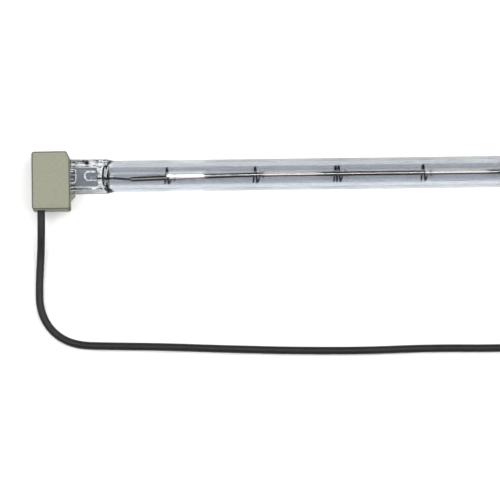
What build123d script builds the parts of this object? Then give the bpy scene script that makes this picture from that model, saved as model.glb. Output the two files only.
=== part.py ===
from build123d import *
import math
import os

os.makedirs("parts", exist_ok=True)

# The lamp lies on its two caps: +X along the tube, +Y across it, +Z up from the table.
# All sizes are in millimetres. The left end is modelled and the right end mirrors it.

# Whole lamp
overall_length = 220.0      # over the outer faces of the ceramic caps

# Ceramic cap, a pressed block with a slot for the seal and a potting chamber
cap_length = 12.0
cap_width = 18.2
cap_height = 11.0
cap_corner = 0.8            # upright corners
cap_edge = 0.35             # edges of the front and back faces
cap_chamfer_length = 1.1    # corner cut beside the seal
cap_end_wall = 1.3
cap_side_wall = 2.0
cap_front_wall = 1.8
chamber_corner = 0.8
slot_clearance = 0.2        # all round the seal
lug_reach = 1.5             # lug under the seal's lower edge
lug_width = 1.9
lug_tip = 0.3
lug_height = 5.8
cement_recess = 0.4         # cement stays below the rim of the chamber

# Quartz tube
tube_diameter = 10.0
bore_diameter = 5.6
axis_offset = 1.4           # the tube sits above the middle of the cap
tip_place = 53.0            # exhaust tip, from the middle of the lamp
tip_diameter = 3.2
tip_end = 0.8               # the glass is drawn out and sealed to this
tip_reach = 2.3             # past the tube's surface

# Flat seal at each end of the tube, measured from the cap's inner face
seal_in_cap = 7.0
seal_width = 11.0
seal_thickness = 4.4
web_width = 6.9             # thin middle of the seal, between its edge beads
web_depth = 0.7             # below the beads, on both faces
web_end = 10.9
web_corner = 1.2
shoulder_start = 11.3
shoulder_end = 13.9
shoulder_width = 10.9       # half way along the shoulder
shoulder_height = 8.2
bore_end = 12.4
bore_end_width = 7.4
bore_end_height = 1.9
pad_height = 0.3            # glass raised over each weld
pad_corner = 0.9
pin_pad_end = 1.8
pin_pad_width = 5.0
weld_pad_start = 4.4
weld_pad_width = 4.6

# Metal in the seal
foil_width = 6.0
foil_thickness = 0.08
foil_start = -3.0           # from the cap's inner face, inside the cap
foil_end = 8.4
foil_offset = -0.2
pin_diameter = 0.9
pin_offset = 0.6
pin_weld_end = 1.4
pin_bend = 0.7              # corner of the pin, cut off by this much each way
inner_lead_diameter = 0.7
inner_lead_offset = -0.6
inner_lead_weld = 5.3
inner_lead_in_coil = 3.0

# Filament, a close coil drawn here as its hollow outline
coil_start = 19.1           # from the cap's inner face
coil_diameter = 1.5
coil_bore = 0.9
coil_bend_share = 0.1       # of the shorter run, taken by each gentle bend of the coil
coil_end_offset = -0.95     # the coil's ends hang off the tube's axis

# Supports, each one wire: turns on the bore, a slanting leg, turns on the coil
support_pitch = 26.9
support_shifts = (-0.3, 0.6, -0.2, -0.35, -0.3, 0.3)
support_wall_turns = (1, 1, 2, 1, 1, 1)
support_wire = 0.5
support_clearance = 0.11    # where the wire bends, a straight run comes nearer to the coil
wall_turn_pitch = 1.3
leg_turns = 0.4
leg_length = 1.1
grip_offset = 2.27          # middle of the turns on the coil
grip_turns = 1.6
grip_turn_pitch = 0.75
points_per_turn = 8
wire_sides = 6              # few sides keep the facets of so thin a wire few

# Crimp sleeve between the outer pin and the lead
sleeve_diameter = 2.4
sleeve_length = 5.4
sleeve_top = 0.4            # upper end, from the middle of the cap's width
sleeve_pin_length = 2.6
sleeve_end_gap = 0.2        # from the end wall of the chamber

# Lead with its insulation, and its ring terminal
lead_diameter = 2.45
conductor_diameter = 1.5
crimp_clearance = 0.04
outlet_clearance = 0.1
strip_length = 3.0
barrel_diameter = 3.3
barrel_length = 5.0
barrel_lift = 0.06          # the barrel's underside, above the ring's
terminal_thickness = 0.8
ring_diameter = 8.0
ring_hole = 4.3
ring_reach = 8.2            # from the barrel's outer end to the ring's middle
neck_width = 4.4
conductor_show = 0.6        # bare conductor between the insulation and the barrel

bar_sides = 12              # of the round bars and holes that glass, cement or insulation hides

# Places worked out from the sizes
left_end = -overall_length / 2
face = left_end + cap_length
axis_y = axis_offset
axis_z = cap_height / 2
seal_start = face - seal_in_cap
sleeve_x = left_end + cap_end_wall + sleeve_end_gap + sleeve_diameter / 2
sleeve_bottom = sleeve_top - sleeve_length
lead_start = sleeve_bottom - conductor_show
terminal_z = barrel_lift + barrel_diameter / 2
coil_end = -face - coil_start
level_reach = 1.5 * support_pitch   # the coil is level as far as the second support from each end

# Route of the lead: out of the cap, down to the table and along the lamp
lead_table_z = 1.25
lead_route = [
    (sleeve_x, lead_start, axis_z),
    (sleeve_x, -14.5, axis_z),
    (-107.60, -22.9, 2.3),
    (-108.25, -31.6, lead_table_z),
    (-108.20, -40.5, lead_table_z),
    (-104.30, -47.5, lead_table_z),
    (-97.20, -51.5, lead_table_z),
    (-85.60, -51.9, lead_table_z),
    (-69.00, -52.3, lead_table_z),
    (-50.00, -53.2, lead_table_z),
    (-28.00, -54.0, lead_table_z),
    (-6.00, -54.3, lead_table_z),
    (14.60, -53.7, lead_table_z),
    (36.50, -54.1, lead_table_z),
    (56.00, -53.5, lead_table_z),
    (76.00, -54.0, terminal_z),
    (92.00, -54.0, terminal_z),
]
lead_bend_share = 0.45      # of the shorter run, taken by each bend


def slab(x_from, x_to, y_middle, width, z_from, z_to):
    """A box between two stations along the lamp."""
    place = Pos((x_from + x_to) / 2, y_middle, (z_from + z_to) / 2)
    return place * Box(x_to - x_from, width, z_to - z_from)


def across(x, y=axis_y, z=axis_z):
    """A plane square to the tube, its own x along +Y."""
    return Plane(origin=(x, y, z), x_dir=(0, 1, 0), z_dir=(1, 0, 0))


def rod(x_from, x_to, diameter, y=axis_y, z=axis_z):
    """A round bar along the lamp."""
    return extrude(across(x_from, y, z) * Circle(diameter / 2), x_to - x_from)


def bar_outline(diameter):
    """A round section drawn with few sides."""
    return RegularPolygon(diameter / 2, bar_sides)


def bent_path(points, share):
    """Straight runs joined by arcs that take a share of the shorter run, with the arcs' radii."""
    corners = [Vector(*point) for point in points]
    radii = []
    for before, corner, after in zip(corners, corners[1:], corners[2:]):
        arriving = corner - before
        leaving = after - corner
        half_turn = math.radians(arriving.get_angle(leaving)) / 2
        shorter = min(arriving.length, leaving.length)
        radii.append(share * shorter / math.tan(half_turn))
    return FilletPolyline(*corners, radius=radii), radii


def wire_along(path, section):
    """A section swept from the start of a path, mitred where the path has a corner."""
    start = Plane(origin=path @ 0, z_dir=path % 0)
    return sweep(start * section, path=path, transition=Transition.RIGHT)


def coil_y(x):
    """Where the coil's centre line lies across the tube, level in the middle and falling to its ends."""
    share = max(abs(x) - level_reach, 0) / (coil_end - level_reach)
    return axis_y + coil_end_offset * share


def other_end(piece):
    """The same piece at the lamp's right end."""
    return mirror(piece, about=Plane.YZ)


# Quartz tube with its flat seals
def seal_outline(extra=0.0):
    """Flat above and below, with a round bead along each edge."""
    return SlotOverall(seal_width + 2 * extra, seal_thickness + 2 * extra)


def tube_outline():
    """A circle in four arcs, one for each line or arc of the seal's outline."""
    arcs = [
        CenterArc((0, 0), tube_diameter / 2, start, size)
        for start, size in zip((-50, 50, 130, 230), (100, 80, 100, 80))
    ]
    return make_face(arcs)


def seal_body():
    bar = extrude(across(seal_start) * seal_outline(), face + shoulder_start - seal_start)
    middle = (shoulder_start + shoulder_end) / 2
    shoulder = loft([
        across(face + shoulder_start) * seal_outline(),
        across(face + middle) * SlotOverall(shoulder_width, shoulder_height),
        across(face + shoulder_end) * tube_outline(),
    ])
    return bar + shoulder


def web_pockets():
    """The hollows that leave a thin web, with a raised pad over each weld."""
    pocket = slab(seal_start - 1, face + web_end, axis_y, web_width, 0, seal_thickness)
    pocket = fillet(pocket.edges().filter_by(Axis.Z).group_by(Axis.X)[-1], web_corner)
    pin_pad = slab(seal_start - 1, face + pin_pad_end, axis_y + pin_offset, pin_pad_width, 0, pad_height)
    pin_pad = fillet(pin_pad.edges().filter_by(Axis.Z).group_by(Axis.X)[-1], pad_corner)
    weld_pad = slab(face + weld_pad_start, face + foil_end, axis_y + inner_lead_offset,
                    weld_pad_width, 0, pad_height)
    weld_pad = fillet(weld_pad.edges().filter_by(Axis.Z), pad_corner)
    hollow = pocket - pin_pad - weld_pad
    front = Pos(0, 0, axis_z + seal_thickness / 2 - web_depth) * hollow
    return front + mirror(front, about=Plane.XY.offset(axis_z))


def bore_half():
    """The bore from the middle of the lamp to its flattened end in the seal."""
    straight = rod(face + shoulder_end, 0, bore_diameter)
    flattened = loft([
        across(face + bore_end) * Ellipse(bore_end_width / 2, bore_end_height / 2),
        across(face + shoulder_end) * Circle(bore_diameter / 2),
    ])
    return straight + flattened


def envelope():
    half_tube = extrude(across(face + shoulder_end) * tube_outline(), -face - shoulder_end)
    half = half_tube + seal_body() - web_pockets() - bore_half()
    tube = half + other_end(half)
    stem_y = axis_y + tube_diameter / 2
    root = Plane(origin=(tip_place, stem_y - 0.6, axis_z), z_dir=(0, 1, 0))
    crown = Plane(origin=(tip_place, stem_y + tip_reach, axis_z), z_dir=(0, 1, 0))
    stem = loft([
        root * Circle(tip_diameter * 0.75),
        root.offset(1.0) * Circle(tip_diameter / 2),
        crown * Circle(tip_end / 2),
    ])
    return tube + stem


# Metal in the seals
def foil():
    return slab(face + foil_start, face + foil_end, axis_y + foil_offset, foil_width,
                axis_z - foil_thickness / 2, axis_z + foil_thickness / 2)


def outer_pin():
    """From the foil out of the seal, then down into the crimp sleeve."""
    pin_y = axis_y + pin_offset
    route = Polyline(
        (face + pin_weld_end, pin_y, axis_z),
        (sleeve_x + pin_bend, pin_y, axis_z),
        (sleeve_x, pin_y - pin_bend, axis_z),
        (sleeve_x, sleeve_top - sleeve_pin_length + crimp_clearance, axis_z),
    )
    return wire_along(route, bar_outline(pin_diameter))


def inner_lead():
    """From the foil through the glass and into the end of the coil."""
    inner_lead_bend = -coil_end - inner_lead_in_coil / 3
    inner_lead_end = -coil_end + inner_lead_in_coil
    route = Polyline(
        (face + inner_lead_weld, axis_y + inner_lead_offset, axis_z),
        (face + shoulder_end, axis_y + inner_lead_offset, axis_z),
        (inner_lead_bend, coil_y(inner_lead_bend), axis_z),
        (inner_lead_end, coil_y(inner_lead_end), axis_z),
    )
    return wire_along(route, bar_outline(inner_lead_diameter))


# Filament and its supports
support_places = [
    (number - (len(support_shifts) - 1) / 2) * support_pitch + shift
    for number, shift in enumerate(support_shifts)
]


def filament():
    route, _ = bent_path([
        (-coil_end, coil_y(coil_end), axis_z),
        (-level_reach, axis_y, axis_z),
        (level_reach, axis_y, axis_z),
        (coil_end, coil_y(coil_end), axis_z),
    ], coil_bend_share)
    return wire_along(route, bar_outline(coil_diameter) - bar_outline(coil_bore))


def support(place, wall_turns):
    """One wire wound on the bore from its lower side, led inwards and wound on the coil."""
    grip_x = place + grip_offset
    wall_start = grip_x - grip_turns * grip_turn_pitch / 2 - leg_length - wall_turns * wall_turn_pitch
    wall_radius = bore_diameter / 2 - support_clearance - support_wire / 2
    grip_radius = coil_diameter / 2 + support_clearance + support_wire / 2
    turns = wall_turns + leg_turns + grip_turns
    steps = round(turns * points_per_turn)
    points = []
    for step in range(steps + 1):
        turn = turns * step / steps
        on_wall = min(turn, wall_turns)
        on_leg = min(max(turn - wall_turns, 0), leg_turns) / leg_turns
        on_grip = max(turn - wall_turns - leg_turns, 0)
        eased = on_leg * on_leg * (3 - 2 * on_leg)
        radius = wall_radius + (grip_radius - wall_radius) * eased
        angle = 2 * math.pi * turn
        points.append((
            wall_start + on_wall * wall_turn_pitch + on_leg * leg_length + on_grip * grip_turn_pitch,
            axis_y + (coil_y(grip_x) - axis_y) * eased - radius * math.cos(angle),
            axis_z - radius * math.sin(angle),
        ))
    return wire_along(Polyline(*points), RegularPolygon(support_wire / 2, wire_sides))


# Ceramic cap, its cement and the crimp sleeve
def cap():
    half_width = cap_width / 2
    seal_top = axis_y + seal_width / 2
    seal_bottom = axis_y - seal_width / 2
    outline = make_face(Polyline(
        (left_end, -half_width),
        (face, -half_width),
        (face, seal_top),
        (face - cap_chamfer_length, half_width),
        (left_end, half_width),
        close=True,
    ))
    block = extrude(outline, cap_height)
    uprights = block.edges().filter_by(Axis.Z)
    block = fillet(uprights.group_by(Axis.X)[0] + uprights.group_by(Axis.Y)[0].sort_by(Axis.X)[-1:], cap_corner)
    rims = block.faces().filter_by(Axis.Z).edges()
    block = chamfer(rims, cap_edge)
    lug_outline = make_face(Polyline(
        (face - cap_corner, seal_bottom - slot_clearance),
        (face + lug_reach, seal_bottom - slot_clearance),
        (face + lug_reach, seal_bottom - slot_clearance - lug_tip),
        (face, seal_bottom - slot_clearance - lug_width),
        (face - cap_corner, seal_bottom - slot_clearance - lug_width),
        close=True,
    ))
    lug = Pos(0, 0, axis_z - lug_height / 2) * extrude(lug_outline, lug_height)
    slot = extrude(across(seal_start) * seal_outline(slot_clearance), cap_length)
    outlet = Pos(sleeve_x, -half_width, axis_z) * Rot(90, 0, 0) * Cylinder(
        lead_diameter / 2 + outlet_clearance, 4 * cap_side_wall)
    return block + lug - slot - outlet - chamber(0)


def chamber(floor):
    """The potting chamber between the end wall and the seal, open at the back of the cap."""
    top = cap_height - cap_front_wall
    box = slab(left_end + cap_end_wall, seal_start, 0, cap_width - 2 * cap_side_wall, floor, top)
    return fillet(box.edges().filter_by(Axis.Z), chamber_corner)


def sleeve_bar(diameter, start=0.0, end=sleeve_length):
    """A round bar between two stations of the sleeve, from its upper end."""
    top = Plane(origin=(sleeve_x, sleeve_top, axis_z), z_dir=(0, -1, 0))
    return extrude(top.offset(start) * bar_outline(diameter), end - start)


def crimp_sleeve():
    pin_hole = sleeve_bar(pin_diameter + 2 * crimp_clearance, end=sleeve_pin_length)
    wire_hole = sleeve_bar(conductor_diameter + 2 * crimp_clearance, start=sleeve_pin_length)
    return sleeve_bar(sleeve_diameter) - pin_hole - wire_hole


def lead_space():
    """The round space that the insulated lead and its bare end take up in the cement."""
    upright = Plane(origin=(sleeve_x, sleeve_bottom, axis_z), z_dir=(0, -1, 0))
    return extrude(upright * Circle(lead_diameter / 2), cap_width)


def cement(pin_solid):
    return chamber(cement_recess) - pin_solid - sleeve_bar(sleeve_diameter) - lead_space()


# Lead and ring terminal
def ring_terminal(end):
    """Barrel, trough, neck and ring, as one folded strip of sheet metal."""
    barrel_start = end.X + conductor_show
    barrel_end = barrel_start + barrel_length
    trough_end = barrel_end + barrel_diameter
    ring_x = barrel_end + ring_reach
    hole_diameter = barrel_diameter - 2 * terminal_thickness
    barrel = rod(barrel_start, trough_end, barrel_diameter, end.Y, terminal_z)
    barrel -= rod(barrel_start, trough_end, hole_diameter, end.Y, terminal_z)
    slant = make_face(Polyline(
        (barrel_end, 0, 2 * barrel_diameter),
        (barrel_end, 0, barrel_diameter),
        (trough_end, 0, terminal_thickness / 2),
        (trough_end, 0, 2 * barrel_diameter),
        close=True,
    ))
    barrel -= extrude(Pos(0, end.Y, 0) * slant, barrel_diameter, both=True)
    neck = extrude(make_face(Polyline(
        (barrel_end, end.Y - terminal_thickness),
        (ring_x, end.Y - neck_width / 2),
        (ring_x, end.Y + neck_width / 2),
        (barrel_end, end.Y + terminal_thickness),
        close=True,
    )), terminal_thickness)
    ring_place = Pos(ring_x, end.Y, terminal_thickness / 2)
    ring = ring_place * Cylinder(ring_diameter / 2, terminal_thickness)
    bolt_hole = ring_place * Cylinder(ring_hole / 2, 2 * terminal_thickness)
    print("ring hole at", round(ring_x, 3), round(end.Y, 3), terminal_thickness / 2)
    return barrel + neck + ring - bolt_hole


def conductor(start, direction, length):
    return extrude(Plane(origin=start, z_dir=direction) * bar_outline(conductor_diameter), length)


# Build every piece
glass_blank = envelope()
pin = outer_pin()
lead_wire = inner_lead()
seal_foil = foil() - pin - lead_wire
metal = pin + lead_wire + seal_foil
pieces = {
    "quartz_envelope": glass_blank - metal - other_end(metal),
    "filament": filament(),
}
for number, (place, wall_turns) in enumerate(zip(support_places, support_wall_turns), start=1):
    pieces[f"support_{number}"] = support(place, wall_turns)

left_pieces = {
    "inner_lead": lead_wire,
    "foil": seal_foil,
    "outer_pin": pin,
    "ceramic_cap": cap(),
    "crimp_sleeve": crimp_sleeve(),
    "cement": cement(pin),
}
for name, piece in left_pieces.items():
    pieces[f"{name}_left"] = piece
    pieces[f"{name}_right"] = other_end(piece)

lead_path, lead_radii = bent_path(lead_route, lead_bend_share)
lead_outline = bar_outline(lead_diameter)
lead = wire_along(lead_path, lead_outline)
lead_end = Vector(*lead_route[-1])
pieces["lead_cable"] = lead
pieces["lead_conductor_cap_end"] = conductor((sleeve_x, lead_start, axis_z), (0, 1, 0), strip_length)
pieces["lead_conductor_terminal_end"] = conductor(lead_end, (1, 0, 0), conductor_show + barrel_length)
pieces["ring_terminal"] = ring_terminal(lead_end)

for name, piece in pieces.items():
    export_step(piece, f"parts/{name}.step")

print("lead length", round(lead_path.length, 2), "volume ratio",
      round(lead.volume / (lead_outline.area * lead_path.length), 5))
print("lead radii", [round(radius, 1) for radius in lead_radii])
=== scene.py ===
"""A quartz infrared heating tube with its ceramic caps and lead, dressed for the picture."""

import math

import bpy
from mathutils import Matrix, Vector, noise


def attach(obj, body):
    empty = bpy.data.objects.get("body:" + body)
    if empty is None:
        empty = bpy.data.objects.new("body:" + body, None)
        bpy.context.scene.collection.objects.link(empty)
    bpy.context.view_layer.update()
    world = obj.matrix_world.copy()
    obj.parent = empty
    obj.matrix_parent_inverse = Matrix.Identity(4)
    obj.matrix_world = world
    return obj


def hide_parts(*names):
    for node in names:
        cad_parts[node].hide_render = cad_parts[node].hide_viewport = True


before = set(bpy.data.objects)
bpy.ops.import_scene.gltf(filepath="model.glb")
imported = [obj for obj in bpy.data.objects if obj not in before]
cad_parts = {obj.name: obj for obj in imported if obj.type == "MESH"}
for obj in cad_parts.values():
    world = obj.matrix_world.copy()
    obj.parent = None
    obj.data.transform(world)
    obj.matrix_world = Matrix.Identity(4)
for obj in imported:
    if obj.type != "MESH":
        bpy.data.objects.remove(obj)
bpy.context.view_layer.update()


# Camera
# The lamp is seen from above and a little from the lead's side, through a long lens 1.6 m away.
# The picture is turned by less than a degree, so the tube rises slightly to the right.
look_at = Vector((-0.04174, -0.02236, 0.0055))
camera_distance = 1.6
camera_lean = math.radians(4.3)
camera_roll = math.radians(0.7256)
picture_width = 0.15725
film_width = 36.0

camera_back = Vector((0, -math.sin(camera_lean), math.cos(camera_lean)))
level_up = Vector((0, math.cos(camera_lean), math.sin(camera_lean)))
camera_right = Vector((1, 0, 0)) * math.cos(camera_roll) - level_up * math.sin(camera_roll)
camera_up = Vector((1, 0, 0)) * math.sin(camera_roll) + level_up * math.cos(camera_roll)
camera_lens = bpy.data.cameras.new("camera")
camera_lens.sensor_width = film_width
camera_lens.lens = film_width * camera_distance / picture_width
camera_lens.clip_start = 0.01
camera = bpy.data.objects.new("camera", camera_lens)
camera_turn = Matrix((camera_right, camera_up, camera_back)).transposed()
camera.matrix_world = Matrix.Translation(look_at + camera_back * camera_distance) @ camera_turn.to_4x4()
bpy.context.scene.collection.objects.link(camera)
bpy.context.scene.camera = camera


# Table
# A plain pale sheet in a dim room, lit by broad soft lights on its four sides. Three narrow lights
# hang above: the coil and the glass reflect them as bright lines along the lamp, beside the chalky
# stretches that are painted on the coil as glare.
# The pieces are set out in millimetres, the room in metres.
millimetre = 0.001


def seen_colour(code, alpha=1.0):
    """An sRGB hex value as the linear colour that a shader reads."""
    linear = []
    for start in (1, 3, 5):
        value = int(code[start:start + 2], 16) / 255
        linear.append(value / 12.92 if value <= 0.04045 else ((value + 0.055) / 1.055) ** 2.4)
    return (*linear, alpha)


def add_node(tree, kind, settings=None, values=None, links=None):
    """A node with its properties, the values of its sockets, and what its sockets are fed by."""
    node = tree.nodes.new(kind)
    for name, value in (settings or {}).items():
        setattr(node, name, value)
    for socket, value in (values or {}).items():
        node.inputs[socket].default_value = value
    for socket, source in (links or {}).items():
        tree.links.new(source, node.inputs[socket])
    return node


def new_material(name):
    """An empty node material with its output, and the coordinates of the piece in millimetres."""
    material = bpy.data.materials.new(name)
    material.use_nodes = True
    tree = material.node_tree
    tree.nodes.clear()
    output = add_node(tree, "ShaderNodeOutputMaterial")
    place = add_node(tree, "ShaderNodeTexCoord")
    scale = add_node(tree, "ShaderNodeMapping", values={"Scale": (1 / millimetre,) * 3},
                     links={"Vector": place.outputs["Object"]})
    return material, tree, output, scale.outputs["Vector"]


def colour_steps(tree, factor, *stops):
    """A colour ramp over a factor, with a place and a colour for each stop."""
    ramp = add_node(tree, "ShaderNodeValToRGB", links={"Fac": factor})
    elements = ramp.color_ramp.elements
    while len(elements) < len(stops):
        elements.new(1.0)
    for element, (position, colour) in zip(elements, stops):
        element.position = position
        element.color = colour
    return ramp.outputs["Color"]


def wear(piece, material):
    """The material in every slot of the piece."""
    piece.data.materials.clear()
    piece.data.materials.append(material)


def matt_paper():
    """White uncoated paper: no gloss, with clouds of a slightly greyer white far apart."""
    material, tree, output, place = new_material("matt_paper")
    fibre = add_node(tree, "ShaderNodeTexNoise", values={"Scale": 0.02, "Detail": 2.0},
                     links={"Vector": place})
    colour = colour_steps(tree, fibre.outputs["Fac"],
                          (0.3, seen_colour("#FBFBFB")), (0.7, seen_colour("#FEFEFE")))
    shader = add_node(tree, "ShaderNodeBsdfPrincipled",
                      values={"Roughness": 0.9, "Specular IOR Level": 0.0},
                      links={"Base Color": colour})
    tree.links.new(shader.outputs["BSDF"], output.inputs["Surface"])
    return material


table_size = 6.0
bpy.ops.object.select_all(action="DESELECT")
bpy.ops.mesh.primitive_plane_add(size=table_size, location=(0, 0, 0))
table = bpy.context.object
table.name = "table"
wear(table, matt_paper())


def soft_box(name, place, target, size, power):
    """A rectangular soft light that faces a target, with its size in metres and power in watts."""
    light = bpy.data.lights.new(name, "AREA")
    light.shape = "RECTANGLE"
    light.size, light.size_y = size
    light.energy = power
    lamp = bpy.data.objects.new(name, light)
    lamp.location = place
    lamp.rotation_euler = (Vector(target) - Vector(place)).to_track_quat("-Z", "Y").to_euler()
    bpy.context.scene.collection.objects.link(lamp)


strip_x = 0.207
strip_y = -0.1
window_x = -0.0758
view_x = -0.05
soft_box("overhead", (strip_x, strip_y, 1.15), (strip_x, strip_y, 0), (0.586, 0.08), 2.5)
soft_box("fill_left", (-0.8, 0.05, 1.0), (0, 0, 0), (1.2, 0.9), 7.5)
soft_box("fill_right", (0.8, 0.05, 1.0), (0, 0, 0), (1.2, 0.9), 7.5)
soft_box("behind", (view_x, 0.31, 1.05), (view_x, 0, 0), (1.8, 0.28), 5.5)
soft_box("front", (view_x, -0.6, 1.0), (view_x, 0, 0), (1.8, 0.6), 1.5)
soft_box("window", (window_x, 0.0, 1.1), (window_x, 0.0, 0), (0.02, 1.4), 0.3)
soft_box("window_bar", (window_x, strip_y, 1.12), (window_x, strip_y, 0), (0.02, 0.3), 0.5)
room = bpy.data.worlds.new("room")
room.use_nodes = True
room_light = room.node_tree.nodes["Background"].inputs
room_light["Color"].default_value = seen_colour("#F6F8FB")
room_light["Strength"].default_value = 0.2
bpy.context.scene.world = room
bpy.context.scene.view_settings.view_transform = "Standard"


# Lead
# A stranded copper wire with black silicone extruded over it. It leaves the cap's side, drops to
# the table and runs along the lamp, on the route that the cap and the terminal were set out on.
lead_diameter = 2.45 * millimetre
table_height = 1.25
barrel_height = 1.71
lead_route = [
    (-107.30, -5.60, 5.5),
    (-107.30, -14.5, 5.5),
    (-107.60, -22.9, 2.3),
    (-108.25, -31.6, table_height),
    (-108.20, -40.5, table_height),
    (-104.30, -47.5, table_height),
    (-97.20, -51.5, table_height),
    (-85.60, -51.9, table_height),
    (-69.00, -52.3, table_height),
    (-50.00, -53.2, table_height),
    (-28.00, -54.0, table_height),
    (-6.00, -54.3, table_height),
    (14.60, -53.7, table_height),
    (36.50, -54.1, table_height),
    (56.00, -53.5, table_height),
    (76.00, -54.0, barrel_height),
    (92.00, -54.0, barrel_height),
]
lead_curve = bpy.data.curves.new("lead", "CURVE")
lead_curve.dimensions = "3D"
lead_curve.bevel_depth = lead_diameter / 2
lead_curve.bevel_resolution = 6
lead_curve.resolution_u = 16
lead_curve.use_fill_caps = True
spline = lead_curve.splines.new("NURBS")
spline.points.add(len(lead_route) - 1)
for point, corner in zip(spline.points, lead_route):
    point.co = (*(millimetre * value for value in corner), 1)
spline.order_u = 3
spline.use_endpoint_u = True
lead = bpy.data.objects.new("lead", lead_curve)
bpy.context.scene.collection.objects.link(lead)


def silicone_rubber():
    """Extruded black silicone: matt, with a soft light along its top and a little dust."""
    material, tree, output, place = new_material("black_silicone_rubber")
    cloud = add_node(tree, "ShaderNodeTexNoise", values={"Scale": 0.35, "Detail": 3.0},
                     links={"Vector": place})
    colour = colour_steps(tree, cloud.outputs["Fac"],
                          (0.35, seen_colour("#09080C")), (0.7, seen_colour("#131216")))
    dust = add_node(tree, "ShaderNodeTexNoise", values={"Scale": 6.0, "Detail": 2.0},
                    links={"Vector": place})
    relief = add_node(tree, "ShaderNodeBump", values={"Strength": 0.25, "Distance": 0.02 * millimetre},
                      links={"Height": dust.outputs["Fac"]})
    shader = add_node(tree, "ShaderNodeBsdfPrincipled", values={"Roughness": 0.5, "IOR": 1.41},
                      links={"Base Color": colour, "Normal": relief.outputs["Normal"]})
    tree.links.new(shader.outputs["BSDF"], output.inputs["Surface"])
    return material


wear(lead, silicone_rubber())
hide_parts("lead_cable")
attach(lead, "root")


# Quartz tube
# A thick-walled tube of clear fused quartz. Each end was heated and pressed flat between two jaws,
# which left a thin web between round edge beads and a raised pad over each weld.
tube_radius = 5.0
bore_radius = 2.8
tube_y = 1.4
tube_z = 5.5
cap_face = 98.0
seal_start = cap_face + 7.0
seal_half_width = 5.5
seal_half_height = 2.2
web_half_width = 3.45
web_depth = 0.7
web_end = cap_face - 10.9
web_slope_outside = 0.25
web_slope_inside = 0.35
web_end_slope = 0.4
pad_height = 0.3
pad_edge = 0.24
pin_pad = (cap_face - 2.25, seal_start, -2.35, 3.1)
weld_pad = (cap_face - 8.4, cap_face - 4.4, -2.9, 1.7)
ripple_height = 0.09
fine_ripple_height = 0.08
web_smoothness = 0.93
shoulder_start = cap_face - 11.4
shoulder_end = cap_face - 14.0
press_start = cap_face - 9.4
press_end = cap_face - 13.6
bore_flat_start = cap_face - 12.9
bore_end = cap_face - 12.2
bore_end_half_width = 3.75
bore_end_half_height = 1.1
bore_end_slant = 0.083
bore_end_slope = 0.08
bore_end_narrowing = 0.12
bore_end_closing = 0.97
tip_x = 53.0
tip_radius = 2.1
tip_height = 2.3
tip_taper = 1.5
ring_points = 192
bead_points = 40
body_step = 10
tip_step = 0.25
seal_step = 0.15
bore_end_step = 0.04


def smooth_step(low, high, value):
    """0 below low, 1 above high, and an easy curve between."""
    share = min(max((value - low) / (high - low), 0), 1)
    return share * share * (3 - 2 * share)


def raised(x, y, x_low, x_high, y_low, y_high):
    """1 on a raised pad, falling to 0 over its edge."""
    half = pad_edge / 2
    along = smooth_step(x_low - half, x_low + half, x) - smooth_step(x_high - half, x_high + half, x)
    across = smooth_step(y_low - half, y_low + half, y) - smooth_step(y_high - half, y_high + half, y)
    return along * across


def seal_point(share):
    """A point of the seal's outline: flat above and below, with a round bead along each edge."""
    beads = bead_points / ring_points
    side = share % 0.5
    if side < beads / 2 or side > 0.5 - beads / 2:
        turn = (side if side < 0.25 else side - 0.5) / beads * math.pi
        y = seal_half_width - seal_half_height + seal_half_height * math.cos(turn)
        z = seal_half_height * math.sin(turn)
        if side > 0.25:
            y, z = -y, -z
    else:
        along = (side - beads / 2) / (0.5 - beads)
        y = (seal_half_width - seal_half_height) * (1 - 2 * along)
        z = seal_half_height
    return (y, z) if share < 0.5 else (-y, -z)


def envelope_point(share, x):
    """A point of the tube's outside, round in the middle and flat at the seals."""
    turn = 2 * math.pi * share
    y = tube_radius * math.cos(turn)
    z = tube_radius * math.sin(turn)
    reach = abs(x)
    if reach <= shoulder_end:
        return x, y, z
    flat_y, flat_z = seal_point(share)
    narrowed = smooth_step(shoulder_end, shoulder_start, reach)
    pressed = smooth_step(press_end, press_start, reach)
    y += (flat_y - y) * narrowed
    z += (flat_z - z) * pressed
    web = smooth_step(web_half_width + web_slope_outside, web_half_width - web_slope_inside, abs(y))
    web *= smooth_step(web_end - web_end_slope, web_end + web_end_slope, reach)
    depth = web_depth * web
    depth -= pad_height * web * raised(reach, y, *pin_pad)
    depth -= pad_height * web * raised(reach, y, *weld_pad)
    z -= math.copysign(depth, z)
    rough = pressed * (1 - web_smoothness * web)
    ripple = noise.noise(Vector((x * 0.9, y * 0.6, z * 0.6))) * ripple_height * rough
    ripple += noise.noise(Vector((x * 2.3, y * 0.9, z * 0.9))) * fine_ripple_height * rough
    length = math.hypot(y, z)
    return x, y * (1 + ripple / length), z * (1 + ripple / length)


def bore_point(share, x):
    """A point of the bore, round along the tube and pinched to a slanting slot at its ends."""
    turn = 2 * math.pi * share
    reach = abs(x)
    flatness = smooth_step(bore_flat_start, bore_end, reach)
    closing = smooth_step(bore_end - bore_end_slope, bore_end + bore_end_slope, reach)
    half_width = bore_radius + (bore_end_half_width - bore_radius) * flatness
    half_height = bore_radius + (bore_end_half_height - bore_radius) * flatness
    y = half_width * math.cos(turn) * (1 - bore_end_narrowing * closing)
    z = half_height * math.sin(turn) * (1 - bore_end_closing * closing)
    return x - math.copysign(bore_end_slant * y * flatness, x), y, z


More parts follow.
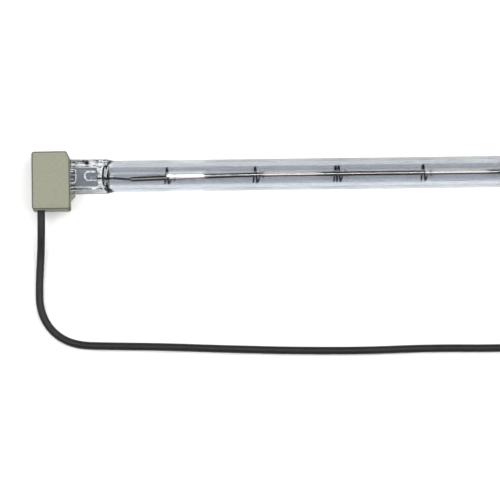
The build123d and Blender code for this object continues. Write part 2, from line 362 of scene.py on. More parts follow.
def spun_shell(name, stations, points, outline):
    """A closed skin: a disc extruded from station to station, each ring then set to its outline."""
    bpy.ops.object.select_all(action="DESELECT")
    bpy.ops.mesh.primitive_circle_add(vertices=points, radius=1, fill_type="NGON",
                                      location=(stations[0], 0, 0), rotation=(0, math.pi / 2, 0))
    shell = bpy.context.object
    shell.name = name
    bpy.ops.object.transform_apply(location=True, rotation=True, scale=True)
    bpy.ops.object.mode_set(mode="EDIT")
    bpy.ops.mesh.select_all(action="SELECT")
    for before, after in zip(stations, stations[1:]):
        bpy.ops.mesh.extrude_region_move(TRANSFORM_OT_translate={"value": (after - before, 0, 0)})
    bpy.ops.mesh.select_all(action="SELECT")
    bpy.ops.mesh.normals_make_consistent(inside=False)
    bpy.ops.object.mode_set(mode="OBJECT")
    for vertex in shell.data.vertices:
        x, y, z = vertex.co
        share = math.atan2(z, y) / (2 * math.pi) % 1
        x, y, z = outline(share, x)
        vertex.co = Vector((x, tube_y + y, tube_z + z)) * millimetre
    bpy.ops.object.shade_smooth_by_angle(angle=math.radians(50))
    return shell


def stations_between(start, end, step):
    """Evenly spaced stations from start up to and with end."""
    count = max(round(abs(end - start) / step), 1)
    return [start + (end - start) * number / count for number in range(count + 1)]


def mirrored(stations):
    """Stations of the right half, and the same ones to the left."""
    return [-x for x in reversed(stations)] + stations


outside_stations = mirrored(
    stations_between(body_step, tip_x - 3, body_step)
    + stations_between(tip_x - 2.5, tip_x + 2.5, tip_step)
    + stations_between(tip_x + 5, shoulder_end, body_step / 2)
    + stations_between(shoulder_end + seal_step, seal_start, seal_step)
)
bore_stations = mirrored(
    stations_between(body_step, shoulder_end, body_step)
    + stations_between(shoulder_end + 0.2, bore_end + bore_end_slope, bore_end_step)
)
quartz_tube = spun_shell("quartz_tube", outside_stations, ring_points, envelope_point)
for vertex in quartz_tube.data.vertices:
    x, y, z = vertex.co / millimetre
    reach = math.hypot(x - tip_x, z - tube_z)
    if reach < tip_radius and y > tube_y:
        pull = (1 - reach / tip_radius) ** tip_taper
        vertex.co.y += tip_height * pull * millimetre
bore = spun_shell("bore", bore_stations, ring_points // 2, bore_point)
bore.data.flip_normals()
bpy.ops.object.select_all(action="DESELECT")
bore.select_set(True)
quartz_tube.select_set(True)
bpy.context.view_layer.objects.active = quartz_tube
bpy.ops.object.join()


def fused_quartz():
    """Clear drawn quartz: sharp reflections, a cool grey tint, clearer inside. Painted light makes the
    tint lighter below the tube's axis, and painted shade darkens it to dark outlines where the surface
    turns away. At the seals the tint carries painted dark dashes and white streaks for the glints and
    shade of the pressed glass. The light of the room passes straight through it, because the shadows of
    clear glass are faint."""
    material, tree, output, place = new_material("fused_quartz")
    along = add_node(tree, "ShaderNodeSeparateXYZ", links={"Vector": place})
    reach = add_node(tree, "ShaderNodeMath", {"operation": "ABSOLUTE"}, links={0: along.outputs["X"]})
    pressed = add_node(tree, "ShaderNodeMapRange",
                       values={"From Min": cap_face - 13.5, "From Max": cap_face - 11.0},
                       links={"Value": reach.outputs["Value"]})
    # Painted light: the tint is lighter below the tube's axis than above it.
    lower = add_node(tree, "ShaderNodeMapRange", {"interpolation_type": "SMOOTHSTEP"},
                     {"From Min": tube_y + 0.6, "From Max": tube_y - 1.4}, {"Value": along.outputs["Y"]})
    tint_with_painted_light_below = colour_steps(tree, lower.outputs["Result"],
                              (0.0, seen_colour("#AFB3B8")), (1.0, seen_colour("#BDC2C9")))
    across = add_node(tree, "ShaderNodeMapping", {"vector_type": "TEXTURE"},
                      {"Location": (0.0, tube_y, tube_z)}, {"Vector": place})
    flat = add_node(tree, "ShaderNodeVectorMath", {"operation": "MULTIPLY"}, {1: (0.0, 1.0, 1.0)},
                    {0: across.outputs["Vector"]})
    depth = add_node(tree, "ShaderNodeVectorMath", {"operation": "LENGTH"},
                     links={0: flat.outputs["Vector"]})
    inside = add_node(tree, "ShaderNodeMapRange",
                      values={"From Min": tube_radius - 0.6, "From Max": bore_radius + 0.8},
                      links={"Value": depth.outputs["Value"]})
    wall_tint = add_node(tree, "ShaderNodeMix", {"data_type": "RGBA"}, {"B": seen_colour("#D2D4D9")},
                         {"Factor": inside.outputs["Result"], "A": tint_with_painted_light_below})
    # Painted glints and shade: at the seals the tint is streaked with near-black dashes and white
    # streaks, strongest along the beads and in two stretches of the seal, standing in for the glints and
    # dark refractions of the pressed glass.
    smear = add_node(tree, "ShaderNodeMapping", values={"Scale": (0.5, 3.4, 0.0)},
                     links={"Vector": place})
    painted_streaks = add_node(tree, "ShaderNodeTexNoise", values={"Scale": 1.0, "Detail": 1.0},
                       links={"Vector": smear.outputs["Vector"]})
    aside = add_node(tree, "ShaderNodeMath", {"operation": "SUBTRACT"}, {1: tube_y},
                     {0: along.outputs["Y"]})
    bead = add_node(tree, "ShaderNodeMapRange", {"interpolation_type": "SMOOTHSTEP"},
                    {"From Min": 3.2, "From Max": 4.0}, {"Value": aside.outputs["Value"]})
    grain = add_node(tree, "ShaderNodeMapRange",
                     values={"From Min": shoulder_end, "From Max": cap_face + 2.0},
                     links={"Value": reach.outputs["Value"]})
    painted_sparkle_strength = colour_steps(tree, grain.outputs["Result"],
                            (0.34, seen_colour("#B8B8B8")), (0.37, seen_colour("#606060")),
                            (0.76, seen_colour("#606060")), (0.79, seen_colour("#D0D0D0")))
    worked_most = add_node(tree, "ShaderNodeMath", {"operation": "MAXIMUM"},
                           links={0: bead.outputs["Result"], 1: painted_sparkle_strength})
    pulled = add_node(tree, "ShaderNodeMath", {"operation": "SUBTRACT"}, {1: 0.5},
                      {0: painted_streaks.outputs["Fac"]})
    painted_streak = add_node(tree, "ShaderNodeMath", {"operation": "MULTIPLY_ADD"}, {2: 0.5},
                      {0: pulled.outputs["Value"], 1: worked_most.outputs["Value"]})
    seal_tint_with_painted_glints = colour_steps(tree, painted_streak.outputs["Value"],
                                (0.41, seen_colour("#2A2D30")), (0.46, seen_colour("#CCD1D5")),
                                (0.53, seen_colour("#D8DCE0")), (0.58, seen_colour("#FFFFFF")))
    tint = add_node(tree, "ShaderNodeMix", {"data_type": "RGBA"},
                    links={"Factor": pressed.outputs["Result"], "A": wall_tint.outputs["Result"],
                           "B": seal_tint_with_painted_glints})
    # Painted shade: the tint darkens to near black where the surface turns away, more broadly at the
    # seals, drawing dark outlines; the tip is left out.
    outline = add_node(tree, "ShaderNodeLayerWeight", values={"Blend": 0.5})
    broad = add_node(tree, "ShaderNodeMath", {"operation": "MULTIPLY_ADD"}, {1: 0.2},
                     {0: pressed.outputs["Result"], 2: outline.outputs["Facing"]})
    on_body = add_node(tree, "ShaderNodeMapRange",
                       values={"From Min": tube_y + tube_radius + 0.3, "From Max": tube_y + tube_radius},
                       links={"Value": along.outputs["Y"]})
    body = add_node(tree, "ShaderNodeMath", {"operation": "MAXIMUM"},
                    links={0: on_body.outputs["Result"], 1: pressed.outputs["Result"]})
    painted_rim_shade = add_node(tree, "ShaderNodeMapRange", values={"From Min": 0.65, "From Max": 0.9},
                   links={"Value": broad.outputs["Value"], "To Max": body.outputs["Value"]})
    colour = add_node(tree, "ShaderNodeMix", {"data_type": "RGBA"}, {"B": seen_colour("#2B2F32")},
                      {"Factor": painted_rim_shade.outputs["Result"], "A": tint.outputs["Result"]})
    waves = add_node(tree, "ShaderNodeTexNoise", values={"Scale": 0.9, "Detail": 1.0},
                     links={"Vector": place})
    worked = add_node(tree, "ShaderNodeMath", {"operation": "MULTIPLY"}, {1: 0.02},
                      {0: pressed.outputs["Result"]})
    relief = add_node(tree, "ShaderNodeBump", values={"Distance": 0.2 * millimetre},
                      links={"Height": waves.outputs["Fac"], "Strength": worked.outputs["Value"]})
    shader = add_node(tree, "ShaderNodeBsdfPrincipled",
                      values={"Roughness": 0.0, "IOR": 1.458, "Transmission Weight": 1.0},
                      links={"Base Color": colour.outputs["Result"], "Normal": relief.outputs["Normal"]})
    ray = add_node(tree, "ShaderNodeLightPath")
    passing = add_node(tree, "ShaderNodeMath", {"operation": "MAXIMUM"},
                       links={0: ray.outputs["Is Shadow Ray"], 1: ray.outputs["Is Diffuse Ray"]})
    clear = add_node(tree, "ShaderNodeBsdfTransparent", values={"Color": seen_colour("#FFFFFF")})
    lit = add_node(tree, "ShaderNodeMixShader",
                   links={0: passing.outputs["Value"], 1: shader.outputs["BSDF"],
                          2: clear.outputs["BSDF"]})
    tree.links.new(lit.outputs["Shader"], output.inputs["Surface"])
    return material


wear(quartz_tube, fused_quartz())
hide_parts("quartz_envelope")
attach(quartz_tube, "root")


# Filament
# Tungsten wire wound in one long close coil. It is held on the tube's axis by the supports and
# hangs off it towards its two ends, where it is pushed over the inner leads.
coil_end = cap_face - 19.1
coil_radius = 0.65
coil_wire_height = 0.15
coil_wire_width = 0.2
coil_pitch = 0.43
coil_level_reach = 40.35
coil_end_offset = -0.95
# Painted glare: stretches of the coil whose top is painted chalky white, with how it fades in and out,
# shifts and widens.
painted_glare_stretches = ((-67.5, -56.0), (-37.8, -19.5), (13.0, 33.7), (54.0, 67.5))
glare_reach = 80.0
glare_start_fade = 0.6
glare_end_fade = 1.5
glare_shift = 0.15
glare_widening = 0.35


def coil_y(x):
    """Where the coil's centre line lies across the tube."""
    share = max(abs(x) - coil_level_reach, 0) / (coil_end - coil_level_reach)
    return tube_y + coil_end_offset * share


bpy.ops.object.select_all(action="DESELECT")
bpy.ops.mesh.primitive_circle_add(vertices=6, radius=1, location=(0, coil_radius, 0))
filament = bpy.context.object
filament.scale = (coil_wire_width, coil_wire_height, 1)
filament.name = "filament_coil"
bpy.ops.object.transform_apply(location=True, rotation=True, scale=True)
winding = filament.modifiers.new("winding", "SCREW")
winding.axis = "X"
winding.angle = 2 * math.pi
winding.screw_offset = coil_pitch
winding.iterations = round(2 * coil_end / coil_pitch)
winding.steps = winding.render_steps = 12
winding.use_smooth_shade = True
winding.use_normal_calculate = True
bpy.ops.object.modifier_apply(modifier=winding.name)
bpy.ops.object.mode_set(mode="EDIT")
bpy.ops.mesh.select_all(action="DESELECT")
bpy.ops.mesh.select_non_manifold()
bpy.ops.mesh.edge_face_add()
bpy.ops.mesh.select_all(action="SELECT")
bpy.ops.mesh.normals_make_consistent(inside=False)
bpy.ops.object.mode_set(mode="OBJECT")
for vertex in filament.data.vertices:
    x = vertex.co.x - coil_end
    vertex.co = Vector((x, coil_y(x) + vertex.co.y, tube_z + vertex.co.z)) * millimetre


def drawn_tungsten():
    """Drawn wire, heated in use. Painted shade makes it near black on its flanks and between its turns,
    a painted highlight draws a light line along its top and its sides, and a painted glare makes some
    stretches chalky white."""
    material, tree, output, place = new_material("drawn_tungsten")
    along = add_node(tree, "ShaderNodeSeparateXYZ", links={"Vector": place})
    # Painted glare: a mask along the coil that is 1 in the glare stretches.
    share = add_node(tree, "ShaderNodeMapRange",
                     values={"From Min": -glare_reach, "From Max": glare_reach},
                     links={"Value": along.outputs["X"]})
    stops = []
    for start, end in painted_glare_stretches:
        for stop_x, value in ((start - glare_start_fade, 0.0), (start + glare_start_fade, 1.0),
                              (end - glare_end_fade, 1.0), (end + glare_end_fade, 0.0)):
            stops.append(((stop_x + glare_reach) / (2 * glare_reach), (value, value, value, 1.0)))
    painted_glare = colour_steps(tree, share.outputs["Result"], *stops)
    # Painted highlight: a light line along the top of the coil, shifted and widened in the painted
    # glare, and one along each side; the rest of the coil is painted near black as shade.
    reach = add_node(tree, "ShaderNodeMath", {"operation": "ABSOLUTE"}, links={0: along.outputs["X"]})
    middle = add_node(tree, "ShaderNodeMapRange",
                      values={"From Min": coil_level_reach, "From Max": coil_end, "To Min": tube_y,
                              "To Max": tube_y + coil_end_offset},
                      links={"Value": reach.outputs["Value"]})
    aside = add_node(tree, "ShaderNodeMath", {"operation": "SUBTRACT"},
                     links={0: along.outputs["Y"], 1: middle.outputs["Result"]})
    shifted = add_node(tree, "ShaderNodeMath", {"operation": "MULTIPLY_ADD"}, {1: -glare_shift},
                       {0: painted_glare, 2: aside.outputs["Value"]})
    distance = add_node(tree, "ShaderNodeMath", {"operation": "ABSOLUTE"},
                        links={0: shifted.outputs["Value"]})
    widened = add_node(tree, "ShaderNodeMath", {"operation": "MULTIPLY_ADD"}, {1: -glare_widening},
                       {0: painted_glare, 2: distance.outputs["Value"]})
    top = add_node(tree, "ShaderNodeMapRange", values={"From Min": 0.17, "From Max": 0.11},
                   links={"Value": widened.outputs["Value"]})
    above = add_node(tree, "ShaderNodeMath", {"operation": "SUBTRACT"}, {1: tube_z},
                     {0: along.outputs["Z"]})
    off_middle = add_node(tree, "ShaderNodeMath", {"operation": "ABSOLUTE"},
                          links={0: above.outputs["Value"]})
    side = add_node(tree, "ShaderNodeMapRange", values={"From Min": 0.3, "From Max": 0.15},
                    links={"Value": off_middle.outputs["Value"]})
    painted_highlight_line = add_node(tree, "ShaderNodeMath", {"operation": "MAXIMUM"},
                     links={0: top.outputs["Result"], 1: side.outputs["Result"]})
    # The painted highlight is light grey, whiter in the painted glare; the painted shade is near black.
    light = colour_steps(tree, painted_glare, (0.0, seen_colour("#D6D0C6")), (1.0, seen_colour("#FBF4E8")))
    colour = add_node(tree, "ShaderNodeMix", {"data_type": "RGBA"}, {"A": seen_colour("#0C0B0A")},
                      {"Factor": painted_highlight_line.outputs["Value"], "B": light})
    # Where the painted glare meets the painted highlight the wire turns from metal to chalky white.
    glare_on_highlight = add_node(tree, "ShaderNodeMath", {"operation": "MULTIPLY"},
                      links={0: painted_glare, 1: painted_highlight_line.outputs["Value"]})
    metal = add_node(tree, "ShaderNodeMath", {"operation": "MULTIPLY_ADD"}, {1: -0.8, 2: 1.0},
                     {0: glare_on_highlight.outputs["Value"]})
    shader = add_node(tree, "ShaderNodeBsdfPrincipled",
                      values={"Roughness": 0.35, "Specular Tint": seen_colour("#4A4846")},
                      links={"Base Color": colour.outputs["Result"], "Metallic": metal.outputs["Value"]})
    tree.links.new(shader.outputs["BSDF"], output.inputs["Surface"])
    return material


tungsten = drawn_tungsten()
wear(filament, tungsten)
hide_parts("filament")
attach(filament, "root")


# Supports
# Each is one tungsten wire: a turn or two sprung against the bore, a slanting leg, and a tight
# turn, a little over one, that grips the coil.
support_pitch = 26.9
support_shifts = (-0.3, 0.6, -0.2, -0.35, -0.3, 0.3)
support_wall_turns = (1, 1, 2, 1, 1, 1)
support_wire_radius = 0.29
wall_turn_pitch = 1.3
close_turn_pitch = 1.0
grip_thinning = 0.55
leg_turns = 0.35
leg_length = 1.5
grip_offset = 2.42
grip_turns = 1.15
grip_turn_pitch = 0.6
wall_clearance = 0.03
grip_clearance = 0.02
points_per_turn = 28


def scaled_tungsten():
    """Tungsten wire with the dark scale of its drawing still on it."""
    material, tree, output, place = new_material("scaled_tungsten")
    grain = add_node(tree, "ShaderNodeTexNoise", values={"Scale": 2.5, "Detail": 3.0},
                     links={"Vector": place})
    colour = colour_steps(tree, grain.outputs["Fac"],
                          (0.35, seen_colour("#0C0B0B")), (0.7, seen_colour("#171616")))
    shader = add_node(tree, "ShaderNodeBsdfPrincipled",
                      values={"Metallic": 1.0, "Roughness": 0.4,
                              "Specular Tint": seen_colour("#4A4846")},
                      links={"Base Color": colour})
    tree.links.new(shader.outputs["BSDF"], output.inputs["Surface"])
    return material


def bent_wire(name, points, radius, sides=8, shares=None):
    """A round wire through the points, closed at both ends. The shares thin it in places."""
    wire_curve = bpy.data.curves.new(name, "CURVE")
    wire_curve.dimensions = "3D"
    wire_curve.bevel_depth = radius * millimetre
    wire_curve.bevel_resolution = sides // 2 - 2
    wire_curve.use_fill_caps = True
    line = wire_curve.splines.new("POLY")
    line.points.add(len(points) - 1)
    for point, place, share in zip(line.points, points, shares or [1] * len(points)):
        point.co = (*(value * millimetre for value in place), 1)
        point.radius = share
    wire = bpy.data.objects.new(name, wire_curve)
    bpy.context.scene.collection.objects.link(wire)
    bpy.ops.object.select_all(action="DESELECT")
    wire.select_set(True)
    bpy.context.view_layer.objects.active = wire
    bpy.ops.object.convert(target="MESH")
    bpy.ops.object.shade_smooth_by_angle(angle=math.radians(60))
    return bpy.context.object


dark_tungsten = scaled_tungsten()
wall_radius = bore_radius - support_wire_radius - wall_clearance
grip_radius = coil_radius + coil_wire_height + support_wire_radius * grip_thinning + grip_clearance
for number, (shift, wall_turns) in enumerate(zip(support_shifts, support_wall_turns), start=1):
    grip_x = (number - 1 - (len(support_shifts) - 1) / 2) * support_pitch + shift + grip_offset
    turn_pitch = wall_turn_pitch if wall_turns == 1 else close_turn_pitch
    wire_start = grip_x - grip_turns * grip_turn_pitch / 2 - leg_length - wall_turns * turn_pitch
    turns = wall_turns + leg_turns + grip_turns
    steps = round(turns * points_per_turn)
    wire_points = []
    wire_shares = []
    for step in range(steps + 1):
        turn = turns * step / steps
        leg = smooth_step(wall_turns, wall_turns + leg_turns, turn)
        on_wall = min(turn, wall_turns)
        on_leg = min(max(turn - wall_turns, 0), leg_turns) / leg_turns
        on_grip = max(turn - wall_turns - leg_turns, 0)
        radius = wall_radius + (grip_radius - wall_radius) * leg
        middle_y = tube_y + (coil_y(grip_x) - tube_y) * leg
        wire_points.append((
            wire_start + on_wall * turn_pitch + on_leg * leg_length + on_grip * grip_turn_pitch,
            middle_y - radius * math.cos(2 * math.pi * turn),
            tube_z - radius * math.sin(2 * math.pi * turn),
        ))
        wire_shares.append(1 - (1 - grip_thinning) * leg)
    wire = bent_wire(f"support_wire_{number}", wire_points, support_wire_radius, shares=wire_shares)
    wear(wire, dark_tungsten)
    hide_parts(f"support_{number}")
    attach(wire, "root")


# Metal in the seals
# Molybdenum foil etched to feather edges, thin enough to seal in quartz, with the outer pin and the
# inner lead welded to it. The inner lead runs on into the end of the coil.
foil_length = 11.4
foil_width = 6.0
foil_thickness = 0.08
foil_feathering = 0.85
foil_wrinkle = 0.06
foil_y = tube_y - 0.2
foil_middle_x = cap_face - 2.7
pin_radius = 0.45
pin_y = tube_y + 0.6
pin_turn_x = 107.3
pin_end_y = -2.1
inner_lead_radius = 0.35
inner_lead_y = tube_y - 0.6
weld_sink = 0.35
wire_sides = 16


def worked_molybdenum(name, dark, light):
    """Rolled foil or drawn wire: grey, half dull, with fine lines along it. Heat darkens it."""
    material, tree, output, place = new_material(name)
    rolled = add_node(tree, "ShaderNodeMapping", values={"Scale": (0.3, 5.0, 5.0)},
                      links={"Vector": place})
    lines = add_node(tree, "ShaderNodeTexNoise", values={"Scale": 1.0, "Detail": 3.0},
                     links={"Vector": rolled.outputs["Vector"]})
    colour = colour_steps(tree, lines.outputs["Fac"],
                          (0.3, seen_colour(dark)), (0.7, seen_colour(light)))
    relief = add_node(tree, "ShaderNodeBump", values={"Strength": 0.3, "Distance": 0.02 * millimetre},
                      links={"Height": lines.outputs["Fac"]})
    shader = add_node(tree, "ShaderNodeBsdfPrincipled", values={"Metallic": 1.0, "Roughness": 0.42},
                      links={"Base Color": colour, "Normal": relief.outputs["Normal"]})
    tree.links.new(shader.outputs["BSDF"], output.inputs["Surface"])
    return material


def seal_foil(name, end):
    """The foil of the lamp's left end (-1) or right end (1), thickest in its middle."""
    bpy.ops.object.select_all(action="DESELECT")
    bpy.ops.mesh.primitive_cube_add(size=1, scale=(foil_length, foil_width, foil_thickness))
    foil = bpy.context.object
    foil.name = name
    bpy.ops.object.transform_apply(location=True, rotation=True, scale=True)
    bpy.ops.object.mode_set(mode="EDIT")
    bpy.ops.mesh.subdivide(number_cuts=24)
    bpy.ops.object.mode_set(mode="OBJECT")
    for vertex in foil.data.vertices:
        x, y, z = vertex.co
        feather = 1 - foil_feathering * abs(2 * y / foil_width) ** 6
        wrinkle = noise.noise(Vector((x * 0.5, y * 0.25, 0.0))) * foil_wrinkle
        x, y, z = end * (foil_middle_x + x), foil_y + y, tube_z + z * feather + wrinkle
        vertex.co = Vector((x, y, z)) * millimetre
    if end < 0:
        foil.data.flip_normals()
    bpy.ops.object.shade_smooth_by_angle(angle=math.radians(40))
    return foil


rolled_molybdenum = worked_molybdenum("rolled_molybdenum", "#585A5F", "#6E7076")
drawn_molybdenum = worked_molybdenum("drawn_molybdenum", "#A4A6AA", "#BCBEC2")
heated_molybdenum = worked_molybdenum("heated_molybdenum", "#1E1D1F", "#353436")
pin_route = (
    (cap_face - 1.4, pin_y),
    (pin_turn_x - 0.7, pin_y),
    (pin_turn_x - 0.2, pin_y - 0.2),
    (pin_turn_x, pin_y - 0.7),
    (pin_turn_x, pin_end_y),
)
inner_lead_route = (
    (cap_face - 5.3, inner_lead_y, weld_sink),
    (cap_face - 7.8, inner_lead_y, weld_sink),
    (cap_face - 8.6, inner_lead_y, 0.1),
    (shoulder_end, inner_lead_y, 0),
    (coil_end + 1.0, coil_y(coil_end), 0),
    (coil_end - 3.0, coil_y(coil_end - 3.0), 0),
)
for side, end in (("left", -1), ("right", 1)):
    foil = seal_foil(f"seal_foil_{side}", end)
    pin = bent_wire(f"pin_{side}", [(end * x, y, tube_z) for x, y in pin_route],
                    pin_radius, wire_sides)
    inner_lead = bent_wire(f"inner_wire_{side}",
                           [(end * x, y, tube_z - sink) for x, y, sink in inner_lead_route],
                           inner_lead_radius, wire_sides)
    for piece, node, finish in ((foil, "foil", rolled_molybdenum), (pin, "outer_pin", drawn_molybdenum),
                                (inner_lead, "inner_lead", heated_molybdenum)):
        wear(piece, finish)
        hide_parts(f"{node}_{side}")
        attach(piece, "root")


# Glint lines round the welds
# The quartz never quite wets the thick pin and lead. A line of white frosted quartz, shaped as fine
# bubbles, lies above the
# foil round each weld: a painted highlight for the glints along the edges of the pads.
glint_line_radius = 0.2
glint_line_height = 0.75
# Each route goes along X from the cap's face and along Y from the tube's axis.
glint_routes = {
    "pin": ((0.4, -1.9), (-1.2, -1.9), (-1.6, -1.6), (-1.7, -0.9),
            (-1.7, 1.5), (-1.6, 2.1), (-1.2, 2.35), (0.4, 2.35)),
    "pin_upper": ((0.3, 1.65), (-1.0, 1.65)),
    "pin_lower": ((0.3, -0.85), (-1.0, -0.85)),
    "lead": ((-8.2, -1.25), (-6.6, -1.15), (-5.4, -1.3), (-4.85, -0.7),
             (-4.65, 0.4), (-4.8, 1.1), (-5.3, 1.4), (-6.4, 1.45), (-7.9, 1.4)),
    "lead_spot": ((-6.9, -0.35), (-6.6, -0.3)),
}


def painted_glint_quartz():
    """Frosted quartz for the painted glints: white in spots, grey between."""
    material, tree, output, place = new_material("painted_glint_quartz")
    spots = add_node(tree, "ShaderNodeTexNoise", values={"Scale": 2.6, "Detail": 2.0},
                     links={"Vector": place})
    colour = colour_steps(tree, spots.outputs["Fac"],
                          (0.38, seen_colour("#A4AAB0")), (0.55, seen_colour("#FFFFFF")))
    shader = add_node(tree, "ShaderNodeBsdfPrincipled", values={"Roughness": 0.35, "IOR": 1.458},
                      links={"Base Color": colour})
    tree.links.new(shader.outputs["BSDF"], output.inputs["Surface"])
    return material


glint_finish = painted_glint_quartz()
# Painted highlight: the white glint lines are laid round each weld at both ends.
for side, end in (("left", -1), ("right", 1)):
    for weld, route in glint_routes.items():
        points = [(end * (cap_face + x), tube_y + y, tube_z + glint_line_height) for x, y in route]
        glint_lines = bent_wire(f"bubbles_{weld}_{side}", points, glint_line_radius)
        wear(glint_lines, glint_finish)
        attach(glint_lines, "root")


# Ceramic caps
# Steatite, pressed dry and fired: an upright block with a corner cut beside the seal, a lug under
# the seal's edge, a slot for the seal, and a chamber in its back that the cement fills.
cap_length = 12.0
cap_half_width = 9.1
cap_height = 11.0
cap_chamfer = 1.1
cap_corner = 0.8
cap_edge = 0.4
slot_clearance = 0.2
slot_depth = 7.0
slot_overrun = 5.0
slot_rounding = 1.9
lug_root = 0.8
lug_reach = 1.5
lug_width = 1.9
lug_tip = 0.3
lug_height = 5.8
lug_edge = 0.1
outlet_radius = 1.325
outlet_depth = 8.0
outlet_x = -107.3
chamber_low = (-108.7, -7.1, -1.0)
chamber_high = (-105.0, 7.1, 9.2)
chamber_corner = 0.8
flat_squareness = 0.9995
broad_face = 8.0
same_place = 1e-4


def block(name, low, high):
    """A box between two corners, in millimetres."""
    low, high = Vector(low), Vector(high)
    bpy.ops.object.select_all(action="DESELECT")
    bpy.ops.mesh.primitive_cube_add(size=1, location=(low + high) / 2, scale=high - low)
    piece = bpy.context.object
    piece.name = name
    bpy.ops.object.transform_apply(location=True, rotation=True, scale=True)
    return piece


def cut(piece, cutter, operation="DIFFERENCE"):
    """The cutter taken out of the piece, or joined to it, and then deleted."""
    change = piece.modifiers.new("cut", "BOOLEAN")
    change.operation = operation
    change.solver = "EXACT"
    change.object = cutter
    bpy.context.view_layer.objects.active = piece
    bpy.ops.object.modifier_apply(modifier=change.name)
    bpy.data.objects.remove(cutter)


def bisect_away(piece, point, normal):
    """The part of the piece on the normal's side of a plane is cut off, and the cut is closed."""
    bpy.ops.object.select_all(action="DESELECT")
    piece.select_set(True)
    bpy.context.view_layer.objects.active = piece
    bpy.ops.object.mode_set(mode="EDIT")
    bpy.ops.mesh.select_all(action="SELECT")
    bpy.ops.mesh.bisect(plane_co=point, plane_no=normal, use_fill=True, clear_outer=True)
    bpy.ops.object.mode_set(mode="OBJECT")


def bevel_edges(piece, chosen, width, segments):
    """The edges that a test picks, rounded in edit mode."""
    bpy.ops.object.select_all(action="DESELECT")
    piece.select_set(True)
    bpy.context.view_layer.objects.active = piece
    bpy.ops.object.mode_set(mode="EDIT")
    bpy.ops.mesh.select_mode(type="EDGE")
    bpy.ops.mesh.select_all(action="DESELECT")
    bpy.ops.object.mode_set(mode="OBJECT")
    for edge in piece.data.edges:
        ends = [piece.data.vertices[index].co for index in edge.vertices]
        edge.select = chosen(*ends)
    bpy.ops.object.mode_set(mode="EDIT")
    bpy.ops.mesh.bevel(offset=width, segments=segments, affect="EDGES")
    bpy.ops.mesh.select_mode(type="VERT")
    bpy.ops.object.mode_set(mode="OBJECT")


def upright(one, other):
    """True for an edge that runs straight up."""
    return abs(one.x - other.x) < same_place and abs(one.y - other.y) < same_place


def level(one, other):
    """True for an edge that lies level."""
    return abs(one.z - other.z) < same_place


def lengthwise(one, other):
    """True for an edge that runs along the lamp."""
    return level(one, other) and abs(one.y - other.y) < same_place


def outer_corner(one, other):
    """True for the upright edges of the cap that its cut corner leaves whole."""
    return upright(one, other) and (one.x < -cap_face - cap_length / 2 or one.y < 0)


def lug_end(one, other):
    """True for the edges of the lug that stand clear of the cap's face."""
    return min(one.x, other.x) > -cap_face + lug_edge


# The cap with its cut corner and rounded edges
seal_top = tube_y + seal_half_width
seal_bottom = tube_y - seal_half_width - slot_clearance
cap = block("ceramic_cap_1", (-cap_face - cap_length, -cap_half_width, 0),
            (-cap_face, cap_half_width, cap_height))
chamfer_normal = Vector((cap_half_width - seal_top, cap_chamfer, 0)).normalized()
bisect_away(cap, (-cap_face, seal_top, 0), chamfer_normal)
bevel_edges(cap, outer_corner, cap_corner, 5)
bevel_edges(cap, level, cap_edge, 3)

# The lug, with its sloping underside
lug = block("lug", (-cap_face - lug_root, seal_bottom - lug_width, tube_z - lug_height / 2),
            (-cap_face + lug_reach, seal_bottom, tube_z + lug_height / 2))
lug_normal = Vector((lug_width - lug_tip, -lug_reach, 0)).normalized()
bisect_away(lug, (-cap_face, seal_bottom - lug_width, 0), lug_normal)
bevel_edges(lug, lug_end, lug_edge, 2)
cut(cap, lug, "UNION")

# The slot for the seal, the chamber behind it and the outlet for the lead
slot_half_height = seal_half_height + slot_clearance
slot = block("slot", (-cap_face - slot_depth, seal_bottom, tube_z - slot_half_height),
             (-cap_face + slot_overrun, seal_top + slot_clearance, tube_z + slot_half_height))
bevel_edges(slot, lengthwise, slot_rounding, 6)
cut(cap, slot)
chamber = block("chamber", chamber_low, chamber_high)
bevel_edges(chamber, upright, chamber_corner, 4)
cut(cap, chamber)
bpy.ops.object.select_all(action="DESELECT")
bpy.ops.mesh.primitive_cylinder_add(vertices=48, radius=outlet_radius, depth=outlet_depth,
                                    location=(outlet_x, -cap_half_width, tube_z),
                                    rotation=(math.pi / 2, 0, 0))
cut(cap, bpy.context.object)
for vertex in cap.data.vertices:
    vertex.co *= millimetre

# Its rounded edges are marked, for painted shade that darkens them below its faces
painted_edge_shade = cap.data.attributes.new("painted_edge_shade", "FLOAT", "FACE")
for face, mark in zip(cap.data.polygons, painted_edge_shade.data):
    squareness = max(abs(part) for part in face.normal)
    narrow = face.area < broad_face * millimetre ** 2
    mark.value = 1 if squareness < flat_squareness and narrow else 0
bpy.ops.object.select_all(action="DESELECT")
cap.select_set(True)
bpy.context.view_layer.objects.active = cap
bpy.ops.object.shade_smooth_by_angle(angle=math.radians(30))


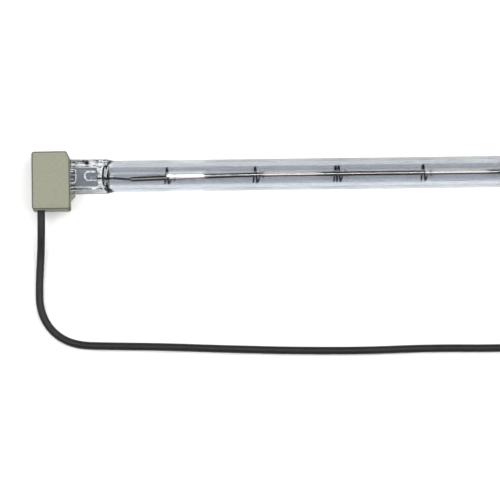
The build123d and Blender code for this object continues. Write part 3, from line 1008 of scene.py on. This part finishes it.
def fired_steatite():
    """Unglazed pressed ceramic: matt grey-green buff, with a fine grain, and painted shade darkening its
    rounded edges.
    """
    material, tree, output, place = new_material("fired_steatite")
    grain = add_node(tree, "ShaderNodeTexNoise",
                     values={"Scale": 2.2, "Detail": 5.0, "Roughness": 0.75},
                     links={"Vector": place})
    face_colour = colour_steps(tree, grain.outputs["Fac"],
                               (0.3, seen_colour("#81816F")), (0.7, seen_colour("#949483")))
    # Painted shade: the rounded edges take a darker colour than the faces.
    edge_shade = add_node(tree, "ShaderNodeAttribute", {"attribute_name": "painted_edge_shade"})
    colour = add_node(tree, "ShaderNodeMix", {"data_type": "RGBA"}, {"B": seen_colour("#55564C")},
                      {"Factor": edge_shade.outputs["Fac"], "A": face_colour})
    relief = add_node(tree, "ShaderNodeBump", values={"Strength": 0.35, "Distance": 0.04 * millimetre},
                      links={"Height": grain.outputs["Fac"]})
    shader = add_node(tree, "ShaderNodeBsdfPrincipled", values={"Roughness": 0.78, "IOR": 1.55},
                      links={"Base Color": colour.outputs["Result"],
                             "Normal": relief.outputs["Normal"]})
    tree.links.new(shader.outputs["BSDF"], output.inputs["Surface"])
    return material


bpy.ops.object.duplicate()
other_cap = bpy.context.object
other_cap.name = "ceramic_cap_2"
for vertex in other_cap.data.vertices:
    vertex.co.x *= -1
other_cap.data.flip_normals()
steatite = fired_steatite()
for piece, node in ((cap, "ceramic_cap_left"), (other_cap, "ceramic_cap_right")):
    wear(piece, steatite)
    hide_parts(node)
    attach(piece, "root")


# Cement and crimp sleeves
# Grey cement poured into the back of each cap holds the seal, the pin and the lead. A nickel-plated
# sleeve joins pin and lead inside it.
def cast_cement():
    """Poured and trowelled cement: matt, uneven, with grains of sand."""
    material, tree, output, place = new_material("cast_cement")
    sand = add_node(tree, "ShaderNodeTexNoise", values={"Scale": 2.2, "Detail": 5.0},
                    links={"Vector": place})
    colour = colour_steps(tree, sand.outputs["Fac"],
                          (0.3, seen_colour("#9D9788")), (0.7, seen_colour("#BDB8A9")))
    relief = add_node(tree, "ShaderNodeBump", values={"Strength": 0.8, "Distance": 0.2 * millimetre},
                      links={"Height": sand.outputs["Fac"]})
    shader = add_node(tree, "ShaderNodeBsdfPrincipled", values={"Roughness": 0.92},
                      links={"Base Color": colour, "Normal": relief.outputs["Normal"]})
    tree.links.new(shader.outputs["BSDF"], output.inputs["Surface"])
    return material


def nickel_plate():
    """Electroplated nickel, satin, a little warm."""
    material, tree, output, place = new_material("nickel_plate")
    cloud = add_node(tree, "ShaderNodeTexNoise", values={"Scale": 1.5, "Detail": 2.0},
                     links={"Vector": place})
    colour = colour_steps(tree, cloud.outputs["Fac"],
                          (0.3, seen_colour("#B5B0A6")), (0.7, seen_colour("#C9C4BA")))
    shader = add_node(tree, "ShaderNodeBsdfPrincipled", values={"Metallic": 1.0, "Roughness": 0.3},
                      links={"Base Color": colour})
    tree.links.new(shader.outputs["BSDF"], output.inputs["Surface"])
    return material


cement = cast_cement()
nickel = nickel_plate()
for side in ("left", "right"):
    wear(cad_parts[f"cement_{side}"], cement)
    wear(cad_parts[f"crimp_sleeve_{side}"], nickel)


# Conductor and ring terminal
# The lead's strands are tinned copper, bared at each end. The terminal is a strip of tinned brass,
# rolled into a barrel at one end and punched to a ring at the other.
def tinned_metal(name, dark, light, roughness):
    """Hot tinned copper or brass: grey, softly uneven, duller on the brass than on the copper."""
    material, tree, output, place = new_material(name)
    cloud = add_node(tree, "ShaderNodeTexNoise", values={"Scale": 1.2, "Detail": 3.0},
                     links={"Vector": place})
    colour = colour_steps(tree, cloud.outputs["Fac"],
                          (0.3, seen_colour(dark)), (0.7, seen_colour(light)))
    relief = add_node(tree, "ShaderNodeBump", values={"Strength": 0.2, "Distance": 0.05 * millimetre},
                      links={"Height": cloud.outputs["Fac"]})
    shader = add_node(tree, "ShaderNodeBsdfPrincipled",
                      values={"Metallic": 1.0, "Roughness": roughness},
                      links={"Base Color": colour, "Normal": relief.outputs["Normal"]})
    tree.links.new(shader.outputs["BSDF"], output.inputs["Surface"])
    return material


tinned_copper = tinned_metal("tinned_copper", "#B4B0AB", "#CCC8C3", 0.35)
tinned_brass = tinned_metal("tinned_brass", "#7C7B78", "#929190", 0.36)
for node in ("lead_conductor_cap_end", "lead_conductor_terminal_end"):
    wear(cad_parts[node], tinned_copper)
wear(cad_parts["ring_terminal"], tinned_brass)
